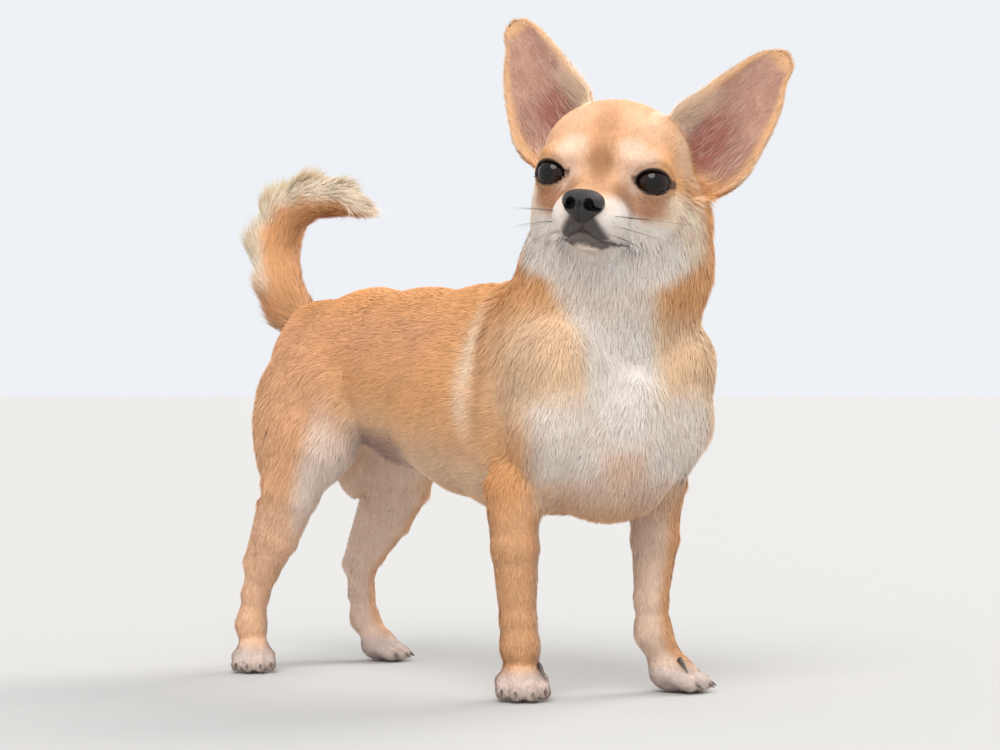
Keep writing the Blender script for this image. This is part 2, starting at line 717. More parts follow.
def near(p, centre, radii, soft=0.5):
    """1 inside an ellipsoid, fading to 0 over a share of its size."""
    r = np.sqrt((((p - np.array(centre, float)) / radii) ** 2).sum(-1))
    return 1 - step(r, 1 - soft / 2, 1 + soft / 2)


def tint(colour, other, share):
    return colour + (np.array(other) - colour) * np.clip(share, 0, 1)[..., None]


# Markings, in linear light, carried by the skin and the coat alike

FAWN = (0.78, 0.41, 0.18)
SADDLE = (0.70, 0.36, 0.185)
CREAM = (0.86, 0.61, 0.41)
WHITE = (0.90, 0.82, 0.76)
PALE = (0.86, 0.66, 0.53)
RUST = (0.46, 0.21, 0.10)
BROWN = (0.36, 0.16, 0.065)
CHARCOAL = (0.045, 0.036, 0.036)
LID_BLACK = (0.03, 0.021, 0.018)
GREY_PINK = (0.72, 0.52, 0.42)
MAUVE = (0.27, 0.14, 0.13)
EAR_PINK = (0.50, 0.27, 0.20)
CANAL = (0.44, 0.17, 0.13)
LIGHT_HAIR = (0.86, 0.66, 0.52)


def part_of(p):
    """The nearest part for each point, and the coat's direction blended from the forms."""
    names = np.empty(len(p), "U8")
    lies = np.zeros_like(p)
    for group, forms in by_blocks(p):
        q = p[group]
        distances = np.stack([form.distance(q) for form in forms])
        nearest = distances.argmin(0)
        names[group] = np.array([form.part for form in forms])[nearest]
        weight = np.exp(-(distances - distances.min(0)) / 3.0)
        for w, form in zip(weight, forms):
            if form.lie is not None:
                lies[group] += w[:, None] * form.lie
    return names, unit(lies)


def eye_ring(p, side, wide, high):
    """Share of the way out from an eye's middle to an oval round it, in front of the ball only."""
    centre, axes = EYES[side]
    e = (p - centre) @ axes.T
    r = np.hypot(e[..., 0] / (LID["wide"] + wide), e[..., 1] / (LID["high"] + high))
    return np.where(e[..., 2] > 0, r, FAR)


# Marks are ovals of colour: colour, strength, middle, half sizes and softness. The face's are in the
# head's axes and the same on both sides.
FACE_MARKS = {
    "crown": ((0.80, 0.45, 0.245), 1, (0, 0, 18), (44, 40, 30), 0.4),
    "above the brow": (CREAM, 0.5, (22, 17, 24), (12, 9, 10), 1.2),
    "temple": (CREAM, 0.8, (4, 31, 10), (12, 10, 15), 1.0),
    "forehead": (BROWN, 0.3, (30, 0, 20), (12, 5, 18), 1.2),
    "bridge": ((0.71, 0.40, 0.215), 0.95, (42, 0, -7), (19, 13, 11), 0.7),
    "furrow": (BROWN, 0.7, (34, 0, 2.5), (10, 5.0, 8), 1.1),
    "brow": ((0.90, 0.72, 0.55), 0.75, (34, 13.5, 10), (8, 6.5, 5.5), 1.1),
    "cheek": ((0.94, 0.76, 0.60), 0.95, (19, 36, -24), (22, 17, 17), 0.7),
    "upper lip": (WHITE, 0.95, (45, 14, -27), (19, 13, 10.5), 0.5),
    "jaw": (WHITE, 0.9, (26, 24, -34), (21, 20, 13), 0.6),
    "chin": (WHITE, 0.75, (36, 0, -46), (26, 20, 13), 0.6),
    "under the eye": (RUST, 0.9, (31, 22.5, -14.5), (12, 10.5, 6.0), 1.0),
    "beside the bridge": (BROWN, 0.75, (38, 13.0, -9), (8, 4.5, 7), 1.1),
}
RUMP_MARKS = {
    "root of the tail": (SADDLE, 0.4, (0, 192, 172), (40, 28, 30), 0.8),
    "right thigh": ((0.90, 0.53, 0.31), 0.7, (-45, 165, 125), (30, 42, 40), 0.9),
}
UNDER_MARKS = {
    "brisket": (PALE, 0.8, (0, -5, 92), (36, 50, 24), 0.8),
    "thin hair": (GREY_PINK, 0.7, (-2, -22, 88), (19, 28, 17), 0.9),
    "belly": ((0.92, 0.72, 0.56), 0.8, (0, 122, 112), (31, 42, 30), 0.7),
    "groin": (MAUVE, 0.9, (-9, 109, 120), (26, 25, 13), 1.1),
}


def add_marks(colour, p, marks):
    for other, strength, middle, radii, soft in marks.values():
        colour = tint(colour, other, strength * near(p, middle, radii, soft))
    return colour


def dark_lips(q):
    """Share of dark skin under the nose, along the upper lip and just below the mouth."""
    forward, left, up = np.moveaxis(q, -1, 0)
    out = np.abs(left)
    height = mouth_height(left)
    above, below = up - height, height - up
    width = np.maximum(3.0 - 0.16 * out, 0.8) + 0.8 * noise(q, 4.5, 21)
    upper = step(width - above, -1.2, 1.2) * step(above, -1.8, -0.4)
    upper = upper * step(forward, 19, 27) * (1 - step(out, 21, 25))
    lower = band(below, -0.6, 0.4, 5.0 - 0.25 * out, 7.6 - 0.3 * out)
    lower = lower * (1 - step(out, 11, 15)) * step(forward, 36, 42)
    drop = -20 - up
    middle = (1 - step(out, 3.0 + 0.55 * drop, 6.0 + 0.7 * drop)) * step(above, -1, 1)
    middle = middle * (1 - step(up, -20, -16)) * step(forward, 44, 50)
    return np.maximum(np.maximum(0.9 * upper, 0.86 * lower), 0.92 * middle)


def face_colour(colour, p, q, around):
    """The head's markings, with q in the head's own axes."""
    both = np.stack([q[..., 0], np.abs(q[..., 1]), q[..., 2]], -1)
    colour = add_marks(colour, both, FACE_MARKS)
    colour = tint(colour, CHARCOAL, dark_lips(q) * around)
    spots = step(noise(q, 1.3, 5), 0.5, 0.75) * near(both, (47, 12.5, -25), (9, 7, 5), 0.5)
    colour = tint(colour, BROWN, 0.75 * spots)
    for side in SIDES:
        r = eye_ring(p, side, 0.5, 0.5)
        colour = tint(colour, BROWN, 0.6 * (1 - step(r, 1.15, 1.6)))
        corners = eye_ring(p, side, 3.0, -1.2)
        edge = np.maximum(1 - step(r, 1.06, 1.2), 0.8 * (1 - step(corners, 0.98, 1.08)))
        colour = tint(colour, LID_BLACK, edge)
    return colour


def ear_colour(colour, p, ear):
    """One ear: fawn back, pink cup with a dark canal, paler rim and fringe."""
    v, s, height, _ = ear.place(p)
    on_ear = step(v, -0.02, 0.1) * (1 - step(np.abs(height), 3.5, 6))
    inside = on_ear * step(height, -0.2, 0.6)
    rim = np.maximum(step(np.abs(s), 0.72, 0.95), step(v, 0.86, 0.97))
    cup = inside * (1 - rim)
    mottled = cup * step(noise(p, 5, 9), -0.2, 0.6) * step(v, 0.2, 0.5)
    canal = cup * near(np.stack([v, s], -1), (0.16, 0.1), (0.24, 0.42), 1.0)
    fringe = inside * step(s, 0.3, 0.75) * (1 - step(v, 0.3, 0.6))
    edge = on_ear * step(np.abs(s), 0.93, 1.0) * step(v, 0.05, 0.2)
    for other, share in (((0.76, 0.42, 0.21), on_ear * (1 - step(height, -0.2, 0.6))), (EAR_PINK, cup),
                         ((0.60, 0.36, 0.27), 0.6 * mottled), (CANAL, canal),
                         ((0.80, 0.48, 0.25), inside * rim), ((0.90, 0.70, 0.53), 0.6 * fringe),
                         ((0.80, 0.60, 0.42), 0.7 * edge)):
        colour = tint(colour, other, share)
    return colour


TAIL_STATIONS = np.array([place for place, _ in TAIL_PATH], float)
TAIL_RADII = np.array([r for _, r in TAIL_PATH], float)
CURL_MIDDLE = (186, 214)


def tail_side(p):
    """How far from the tail's middle and how far towards the outside of its curl, both in its radii."""
    best, side = np.full(p.shape[:-1], FAR), np.zeros(p.shape[:-1])
    for a, b, ra, rb in zip(TAIL_STATIONS, TAIL_STATIONS[1:], TAIL_RADII, TAIL_RADII[1:]):
        ab = b - a
        t = np.clip(((p - a) @ ab) / (ab @ ab), 0, 1)
        away = p - a - t[..., None] * ab
        radius = ra + (rb - ra) * t
        outward = unit(p[..., 1:] - CURL_MIDDLE)
        gap = np.linalg.norm(away, axis=-1) / radius
        closer = gap < best
        best = np.where(closer, gap, best)
        side = np.where(closer, (away[..., 1:] * outward).sum(-1) / radius, side)
    return best, side


def coat_colour(p, n):
    """The colour at each point of the skin or root of a tuft, with its outward direction."""
    x, y, z = p[..., 0], p[..., 1], p[..., 2]
    base = np.broadcast_to(np.array(FAWN), p.shape).copy()
    wave = noise(p, 26, 1) * 0.5 + noise(p, 9, 2) * 0.3
    # Saddle and upper flank
    back = band(z, 128 + 8 * wave, 192, 205, 215) * step(y, 34, 66)
    colour = tint(base, SADDLE, back * (0.85 + 0.3 * wave))
    colour = add_marks(colour, p, RUMP_MARKS)
    # Paler shoulder, a crease behind it and a pale band behind that
    forward = CHEST.into(p)[..., 0]
    shoulder = band(z, 112, 150, 206, 226) * step(forward, -34, 12)
    colour = tint(colour, (0.88, 0.62, 0.40), shoulder)
    bend = y + 0.02 * (z - 192)
    span = band(z, 116, 140, 186, 200)
    colour = tint(colour, (0.95, 0.72, 0.52), 0.95 * hump(bend, 29.5, 6.5) * span * (0.9 + 0.3 * wave))
    colour = tint(colour, BROWN, 0.4 * hump(bend, 20.5, 3.2) * span)
    # Belly, brisket and groin
    under = band(z, 84, 92, 150, 165) * step(-n[..., 2], 0.0, 0.7)
    colour = tint(colour, CREAM, 0.9 * under)
    colour = add_marks(colour, p, UNDER_MARKS)
    # Throat, bib and the white of the chest, narrowing to a point at the star
    high = np.clip((z - 125) / 75, 0, 1.4)
    centre_x = -18 + 3 * high - 8 * np.clip(high - 0.45, 0, 1)
    across = np.abs(NECK.rows[1][0] * (x - centre_x) + NECK.rows[1][1] * (y + 50 - 9 * high))
    half = 12 + 7 * step(high, 0, 0.55) + 3 * step(high, 0.5, 1.2) + 3 * wave
    beside = band(z, 176, 196, 232, 246) * step(across, half - 1, half + 9)
    colour = tint(colour, (0.80, 0.40, 0.155), 0.8 * beside)
    bib = (1 - step(across, half - 7, half + 6)) * step(n @ NECK.rows[0], -0.25, 0.3) * step(z, 112, 122)
    colour = tint(colour, WHITE, 0.95 * bib)
    colour = tint(colour, (0.86, 0.65, 0.50), 0.6 * bib * step(high, 0.65, 1.1))
    ahead = step(n @ CHEST.rows[0], -0.35, 0.25)
    between = band(z, 88, 100, 118, 130) * (1 - step(across, 14, 26)) * ahead
    colour = tint(colour, (0.84, 0.62, 0.47), 0.9 * between)
    beneath = band(z, 100, 114, 136 + 6 * wave, 156 + 6 * wave) * band(across, 4, 16, 36, 50) * ahead
    colour = tint(colour, WHITE, 0.85 * beneath)
    colour = tint(colour, GREY_PINK, 0.35 * near(p, (-16, -44, 104), (28, 20, 13), 0.9))
    # Legs and paws
    inner = step(-n[..., 0] * np.sign(x), 0.0, 0.8)
    leg = 1 - step(z, 82, 104)
    hind = step(y, 100, 120)
    colour = tint(colour, (0.74, 0.41, 0.21), leg * (1 - hind))
    colour = tint(colour, (0.88, 0.55, 0.35), leg * hind)
    colour = tint(colour, PALE, leg * inner * 0.85)
    slanted = np.stack([x, y - 0.32 * np.clip(118 - z, 0, 60), z], -1)
    streak = near(slanted, (-37, 136, 96), (22, 12, 40), 0.9)
    colour = tint(colour, (0.93, 0.76, 0.66), 0.9 * hind * streak)
    colour = tint(colour, (0.90, 0.68, 0.55), 0.8 * hind * inner * (1 - step(z, 120, 135)) * step(x, 0, 20))
    toes = 1 - step(z, 10 + 3 * wave, 18)
    colour = tint(colour, (0.66, 0.55, 0.50), 0.9 * toes)
    # Tail: cream on the outside of the curl, darker inside
    gap, outside = tail_side(p)
    outside = outside / np.maximum(gap, 0.3)
    tail = (1 - step(gap, 1.2, 1.5)) * step(z, 176, 194)
    colour = tint(colour, (0.76, 0.42, 0.20), tail * (1 - step(outside, -0.8, -0.2)))
    colour = tint(colour, (0.42, 0.20, 0.085), 0.7 * tail * (1 - step(z, 184, 204)))
    outer = step(outside, -0.55 + 0.08 * wave, 0.25) * step(z, 184, 206)
    colour = tint(colour, (0.95, 0.80, 0.64), 0.97 * tail * outer)
    # Head and ears
    h = HEAD.into(p)
    head = step(h[..., 2], -62, -44) * step(h[..., 0], -46, -30)
    around = (1 - step(np.abs(h[..., 1]), 46, 52)) * head
    faced = face_colour(colour, p, h, around)
    colour = colour + (faced - colour) * around[..., None]
    for ear in EARS.values():
        colour = ear_colour(colour, p, ear)
    shade = 1 + 0.05 * noise(p, 3.2, 3) + 0.05 * noise(p, 12, 4)
    return np.clip(colour * shade[..., None], 0.004, 0.95)


def set_colour(piece, colours):
    attribute = piece.data.color_attributes.new("coat", "FLOAT_COLOR", "POINT")
    full = np.ones((len(colours), 4), np.float32)
    full[:, :3] = colours
    attribute.data.foreach_set("color", full.ravel())


# Materials

def fine_grain_group():
    """Fine noise in object space, put out as a height."""
    group = bpy.data.node_groups.new("fine grain", "ShaderNodeTree")
    group.interface.new_socket("Scale", in_out="INPUT", socket_type="NodeSocketFloat")
    group.interface.new_socket("Height", in_out="OUTPUT", socket_type="NodeSocketFloat")
    given = group.nodes.new("NodeGroupInput")
    result = group.nodes.new("NodeGroupOutput")
    place = group.nodes.new("ShaderNodeTexCoord")
    grain = group.nodes.new("ShaderNodeTexNoise")
    grain.inputs["Detail"].default_value = 3
    group.links.new(place.outputs["Object"], grain.inputs["Vector"])
    group.links.new(given.outputs["Scale"], grain.inputs["Scale"])
    group.links.new(grain.outputs["Fac"], result.inputs["Height"])
    return group


FINE_GRAIN = fine_grain_group()
GRAIN_DEPTH = 0.0006


def new_material(name, roughness, specular, grain_scale=None, grain_strength=0):
    """A surface that takes its colour from the piece's own attribute, with a fine grain or without."""
    material = bpy.data.materials.new(name)
    material.use_nodes = True
    nodes, links = material.node_tree.nodes, material.node_tree.links
    shader = nodes["Principled BSDF"]
    shader.inputs["Roughness"].default_value = roughness
    shader.inputs["Specular IOR Level"].default_value = specular
    colour = nodes.new("ShaderNodeAttribute")
    colour.attribute_name = "coat"
    links.new(colour.outputs["Color"], shader.inputs["Base Color"])
    if grain_scale:
        grain = nodes.new("ShaderNodeGroup")
        grain.node_tree = FINE_GRAIN
        grain.inputs["Scale"].default_value = grain_scale
        relief = nodes.new("ShaderNodeBump")
        relief.inputs["Strength"].default_value = grain_strength
        relief.inputs["Distance"].default_value = GRAIN_DEPTH
        links.new(grain.outputs["Height"], relief.inputs["Height"])
        links.new(relief.outputs["Normal"], shader.inputs["Normal"])
    return material


skin_finish = new_material("skin", 0.7, 0.3, 900, 0.5)
coat_finish = new_material("coat", 0.62, 0.25)
eye_finish = new_material("eye", 0.05, 0.3)
nose_finish = new_material("nose_leather", 0.42, 0.4, 1500, 0.9)
claw_finish = new_material("claw", 0.38, 0.45, 700, 0.2)

skin = new_piece("skin", skin_vertices, skin_triangles)
set_colour(skin, coat_colour(skin_vertices, skin_normals) * SKIN_SHADE)
skin.data.materials.append(skin_finish)
PAIRED = ("shoulder", "foreleg", "thigh", "shank", "pastern", "front_paw", "hind_paw")
FLESH = ["head", "neck", "torso", "tail_root", "tail_middle", "tail_tip", "ear_right", "ear_left"]
for side_name in SIDE_NAME.values():
    FLESH += [f"{part}_{side_name}" for part in PAIRED]
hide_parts(*FLESH)
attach(skin, "root")


# Eyes

PUPIL, IRIS = 0.36, 0.98
WHITE_RADIUS = EYE_RADIUS - 0.25
CORNEA = 0.9


def tube_triangles(rings, spokes):
    """Triangles over rings of points, closed by a first and a last point that follow them."""
    i, j = np.meshgrid(np.arange(rings - 1), np.arange(spokes), indexing="ij")
    a, b = i * spokes + j, i * spokes + (j + 1) % spokes
    quads = np.stack([a, a + spokes, b + spokes, b], -1).reshape(-1, 4)
    start, after = a[0], b[0]
    first = rings * spokes
    end = first - spokes
    caps = [np.stack([start * 0 + first, start, after], 1),
            np.stack([start * 0 + first + 1, end + after, end + start], 1)]
    return np.concatenate([quads[:, [0, 1, 2]], quads[:, [0, 2, 3]], *caps])


def make_eye(side):
    """An eyeball with a bulging front, coloured by the angle from its look in radians."""
    rings, spokes = 71, 96
    centre, axes = EYES[side]
    theta = np.linspace(0, math.pi, rings + 2)[1:-1]
    phi = np.arange(spokes) * 2 * math.pi / spokes
    t, a = np.meshgrid(theta, phi, indexing="ij")
    radius = WHITE_RADIUS + CORNEA * np.clip(1 - (t / IRIS) ** 2, 0, 1)
    local = np.stack([np.sin(t) * np.cos(a), np.sin(t) * np.sin(a), np.cos(t)], -1) * radius[..., None]
    ends = np.array([[0, 0, WHITE_RADIUS + CORNEA], [0, 0, -WHITE_RADIUS]])
    local = np.concatenate([local.reshape(-1, 3), ends])
    piece = new_piece(f"eyeball_{SIDE_NAME[side]}", centre + local @ axes, tube_triangles(rings, spokes))
    angle = np.append(t.ravel(), [0, math.pi])
    around = np.append(a.ravel(), [0, 0])
    streak = 0.5 + 0.5 * np.sin(around * 23 + np.sin(around * 7) * 2)
    colour = np.broadcast_to(np.array((0.16, 0.10, 0.08)), (len(local), 3)).copy()
    colour = tint(colour, (0.012, 0.007, 0.005), 1 - step(angle, IRIS, IRIS + 0.12))
    brown = np.array((0.013, 0.005, 0.0028)) * (0.7 + 0.8 * streak)[:, None]
    colour = np.where(((angle > PUPIL) & (angle < IRIS - 0.06))[:, None], brown, colour)
    colour = np.where((angle <= PUPIL)[:, None], np.array((0.003, 0.003, 0.003)), colour)
    set_colour(piece, colour)
    piece.data.materials.append(eye_finish)
    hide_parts(f"eye_{SIDE_NAME[side]}")
    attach(piece, "root")


for side in SIDES:
    make_eye(side)


# Nose

NOSE_CELL = 0.42
NOSE_BLACK = (0.022, 0.019, 0.020)


def nose_distance(q):
    """The pad round its own centre, in the head's axes, with nostrils and a groove."""
    pad = ellipsoid(q - (0, 0, 1.9), np.array((8.2, 9.1, 5.0)))
    lobe = np.full(q.shape[:-1], FAR)
    for side in SIDES:
        lobe = smooth_min(lobe, ellipsoid(q - (0.2, side * 4.4, -0.2), np.array((7.8, 4.5, 4.6))), 1.5)
    lower = ellipsoid(q - (0.8, 0, -4.0), np.array((6.6, 5.0, 4.6)))
    d = smooth_min(smooth_min(pad, lobe, 4), lower, 3)
    for side in SIDES:
        hole = ellipsoid(q - (7.4, side * 4.2, -0.2), np.array((5.4, 2.3, 2.7)))
        slit = ellipsoid(q - (4.6, side * 7.2, -1.9), np.array((4.6, 3.0, 1.0)))
        d = smooth_max(d, -smooth_min(hole, slit, 1.2), 0.7)
    groove = np.hypot(q[..., 1], d * 0.9) - 0.55 + 2 * step(q[..., 2], 0.5, 2.5)
    return smooth_max(d, -groove, 0.6)


def make_nose():
    reach = np.array((11, 11, 9.5))
    lines = [np.arange(n) * NOSE_CELL - r for r, n in zip(reach, (2 * reach / NOSE_CELL).astype(int))]
    grid = np.stack(np.meshgrid(*lines, indexing="ij"), -1)
    local, quads = surface_nets(nose_distance(grid), -reach, NOSE_CELL)
    triangles = split_quads(local, quads)
    for _ in range(3):
        local = moved(nose_distance, local, 0.05, 0.2)
    piece = new_piece("nose_pad", HEAD.out(local + NOSE_PLACE), triangles)
    pebble = 0.5 + 0.5 * noise(local, 0.9, 6)
    colour = np.array(NOSE_BLACK) * (0.6 + 0.8 * pebble)[:, None]
    for side in SIDES:
        inside = near(local, (5.6, side * 4.5, -0.8), (5.0, 2.6, 2.3), 0.5)
        colour = tint(colour, (0.002, 0.002, 0.002), inside)
    set_colour(piece, colour)
    piece.data.materials.append(nose_finish)
    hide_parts("nose")
    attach(piece, "root")


make_nose()


# Claws

CLAW_ROOT, CLAW_PALER = (0.05, 0.038, 0.034), (0.16, 0.12, 0.10)
CLAW = dict(length=7.2, root=1.75, drop=2.7)
DEWCLAW = dict(place=(4, 8.4, 15.5), aim=(0.6, 0.35, -0.7), length=6.2, root=1.35)


def horn(middle, radius, spokes=12):
    """A closed, tapered rod along a curve: vertices, triangles and each vertex's share of the length."""
    along = unit(np.gradient(middle, axis=0))
    sideways = unit(np.cross(along, (0, 0, 1.0)))
    upward = np.cross(sideways, along)
    a = np.arange(spokes)[:, None] * 2 * math.pi / spokes
    ring = sideways[:, None] * np.cos(a) * 0.8 + upward[:, None] * np.sin(a)
    vertices = (middle[:, None] + ring * radius[:, None, None]).reshape(-1, 3)
    vertices = np.concatenate([vertices, middle[:1], middle[-1:] + along[-1] * 0.3])
    share = np.repeat(np.linspace(0, 1, len(middle)), spokes)
    return vertices, tube_triangles(len(middle), spokes), np.append(share, [0, 1])


def claw_mesh(axes, out, reach, scale):
    """A tapered, bent claw from inside the toe's tip."""
    t = np.linspace(0, 1, 9)
    fan = out * 0.035
    ahead = np.stack([reach + 3.2 + CLAW["length"] * t, out + CLAW["length"] * t * fan,
                      5.0 + 0.3 * t - CLAW["drop"] * t ** 2], -1) * scale
    return horn(axes.out(ahead), CLAW["root"] * scale * np.sqrt(np.clip(1.02 - t, 0.02, 1)))


def dewclaw_mesh(axes, side):
    """The small claw on the inner side of a front leg."""
    ahead, out, up = DEWCLAW["place"]
    forward, inward, down = DEWCLAW["aim"]
    along = axes.turn(unit((forward, -side * inward, down)))
    t = np.linspace(-0.25, 1, 9)
    middle = axes.out((ahead, -side * out, up)) + along * DEWCLAW["length"] * t[:, None]
    middle[:, 2] -= t ** 2
    return horn(middle, DEWCLAW["root"] * (1.02 - 0.8 * np.clip(t, 0, 1) ** 1.3))


def finish_claw(name, node, made):
    """One claw as a piece, dark at its root and paler at its tip."""
    vertices, triangles, along = made
    piece = new_piece(name, vertices, triangles)
    set_colour(piece, np.array(CLAW_ROOT) + np.array(CLAW_PALER) * (along ** 2)[:, None])
    piece.data.materials.append(claw_finish)
    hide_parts(node)
    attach(piece, "root")


def make_claws():
    for side in SIDES:
        name = SIDE_NAME[side]
        for kind, axes in (("front", FRONT_LEG[side][1]), ("hind", HIND_LEG[side][2])):
            for number, (out, reach, _) in enumerate(TOES, 1):
                made = claw_mesh(axes, out, reach, PAW_SCALE[kind])
                finish_claw(f"{kind}_nail_{name}_{number}", f"{kind}_claw_{name}_{number}", made)
        finish_claw(f"dewclaw_nail_{name}", f"dewclaw_{name}", dewclaw_mesh(FRONT_LEG[side][1], side))


make_claws()


# The coat: thin flat tufts rooted in the skin, lying along the body

rng = np.random.default_rng(SEED)
part_names, lies = part_of(skin_vertices)
corner_places = skin_vertices[skin_triangles]
areas = np.linalg.norm(np.cross(corner_places[:, 1] - corner_places[:, 0],
                                corner_places[:, 2] - corner_places[:, 0]), axis=1) / 2
triangle_parts = part_names[skin_triangles[:, 0]]
triangle_middles = corner_places.mean(1)
triangle_normals = unit(skin_normals[skin_triangles].mean(1))


def bare(p, n):
    """1 where no coat grows: nose, eyes, lids, mouth line, toe pads."""
    q = HEAD.into(p)
    forward, left, up = q.T
    nose = near(q, NOSE_PLACE, (9.5, 10, 8), 0.2)
    lids = [1 - step(eye_ring(p, side, 0.5, 0.5), 1.14, 1.24) for side in SIDES]
    mouth = hump(up, mouth_height(left), 1.0) * step(forward, 20, 28) * (1 - step(np.abs(left), 21, 25))
    pads = (1 - step(p[:, 2], 0.6, 2.0)) * step(-n[:, 2], 0.3, 0.8)
    return np.max([nose, *lids, mouth, pads], axis=0)


def coat_shape(p, n, part):
    """Length, lift of the tip over the skin, width and tufts per square millimetre."""
    shape = np.tile((7.2, 1.15, 0.34, 3.3), (len(p), 1))

    def mix(share, values):
        nonlocal shape
        shape = shape + (np.array(values) - shape) * (share * 1.0)[:, None]

    x, _, z = p.T
    forward, _, up = HEAD.into(p).T
    mix(part == "neck", (9.0, 2.5, 0.38, 3.1))
    mix(part == "shoulder", (8.2, 1.8, 0.36, 3.1))
    mix(part == "chest", (8.0, 1.9, 0.38, 3.1))
    mix(part == "thigh", (7.0, 1.6, 0.36, 3.1))
    mix(1 - step(z, 78, 110), (4.2, 0.85, 0.32, 3.3))
    mix(1 - step(z, 12, 24), (2.8, 0.65, 0.29, 4.0))
    mix(near(p, (-8, 104, 122), (20, 22, 13), 0.7), (8, 3, 0.34, 1.0))
    mix(near(p, (0, 20, 92), (40, 70, 12), 0.6), (7, 2.4, 0.36, 2.6))
    on_head = np.isin(part, ("head", "muzzle"))
    mix(on_head, (4.6, 1.05, 0.31, 3.2))
    mix(on_head * step(forward, 8, 26), (3.0, 0.65, 0.27, 4.2))
    mix(on_head * step(forward, 34, 44), (2.1, 0.4, 0.23, 5.6))
    mix(on_head * step(-up, 22, 36) * (1 - step(forward, 34, 46)), (5.2, 1.3, 0.30, 3.2))
    mix(part == "tail", (12, 3.7, 0.33, 5.2))
    gap, outside = tail_side(p)
    mix((part == "tail") * step(outside / np.maximum(gap, 0.3), -0.2, 0.6), (16, 5.4, 0.31, 5.8))
    for ear in EARS.values():
        v, s, height, _ = ear.place(p)
        on_ear = (part == "ear") & (np.sign(x) == ear.side)
        inside = on_ear * step(height, 0, 0.6)
        mix(on_ear, (3.6, 0.7, 0.34, 4.2))
        mix(inside * (1 - step(np.abs(s), 0.72, 0.95)), (3.6, 0.8, 0.22, 1.6))
        mix(inside * (1 - step(v, 0.2, 0.5)), (9, 2.6, 0.2, 1.5))
        mix(on_ear * step(np.abs(s), 0.8, 0.97), (4.0, 1.4, 0.3, 7.0))
        mix(inside * step(s, 0.3, 0.7) * (1 - step(v, 0.3, 0.6)), (9, 2.8, 0.2, 4.0))
    length, tip, width, dense = shape.T
    return length, tip, width, dense * (1 - bare(p, n))


def unwrap(kind, p, n):
    """Where each root lies on a map of the skin that is unrolled round that part's own axis."""
    if kind == "head":
        q = HEAD.into(p) - (8, 0, -8)
        r = np.linalg.norm(q, axis=1)
        return np.stack([np.arctan2(q[:, 1], q[:, 0]), np.arcsin(np.clip(q[:, 2] / r, -1, 1))], 1)
    if kind == "ears":
        flat = np.zeros((len(p), 2))
        for ear in EARS.values():
            v, s, height, _ = ear.place(p)
            mine = np.sign(p[:, 0]) == ear.side
            flat[mine] = np.stack([s + 2.4 * (height > 0) + 4.8 * (ear.side > 0), v], 1)[mine]
        return flat
    if kind == "tail":
        share = np.linspace(0, 1, 8, endpoint=False)[:, None]
        bones = [a + (b - a) * share for a, b in zip(TAIL_STATIONS, TAIL_STATIONS[1:])]
        bones = np.concatenate(bones)
        nearest = np.linalg.norm(p[:, None] - bones[None], axis=2).argmin(1)
        away = p - bones[nearest]
        outward = unit(p[:, 1:] - CURL_MIDDLE)
        around = np.arctan2(away[:, 0], (away[:, 1:] * outward).sum(1))
        return np.stack([around, nearest / 10 + away[:, 1] * 0.005], 1)
    if kind in ("legs_front", "legs_hind"):
        centre_x = np.where(p[:, 0] < 0, -38.0, 36.0)
        centre_y = np.where(p[:, 0] < 0, 2.0, -22.0) if kind == "legs_front" else 190 - 0.25 * (p[:, 2] - 40)
        angle = np.arctan2(p[:, 1] - centre_y, p[:, 0] - centre_x)
        return np.stack([angle + 6.6 * (p[:, 0] > 0), p[:, 2] / 20 + 0.3 * n[:, 2]], 1)
    if kind == "neck":
        q = p - (6, -12, 0)
        return np.stack([np.arctan2(q[:, 0], -q[:, 1]), p[:, 2] / 30], 1)
    return np.stack([np.arctan2(p[:, 0], p[:, 2] - 138), p[:, 1] / 40], 1)


# Each tuft's patch of the map, and its blade: root, middle and tip
PATCH = 0.0030
BLADE_POINTS = 5
BLADE = np.array([(0, 3, 1), (0, 2, 3), (2, 4, 3)])
BLADE_SHADES = np.array([0.90, 0.90, 1.0, 1.0, 1.06])
BLADE_SPOTS = np.array([(-0.5, -0.5), (0.5, -0.5), (-0.5, 0.1), (0.5, 0.1), (0, 0.5)]) * PATCH
ROOT_SUNK = 0.25


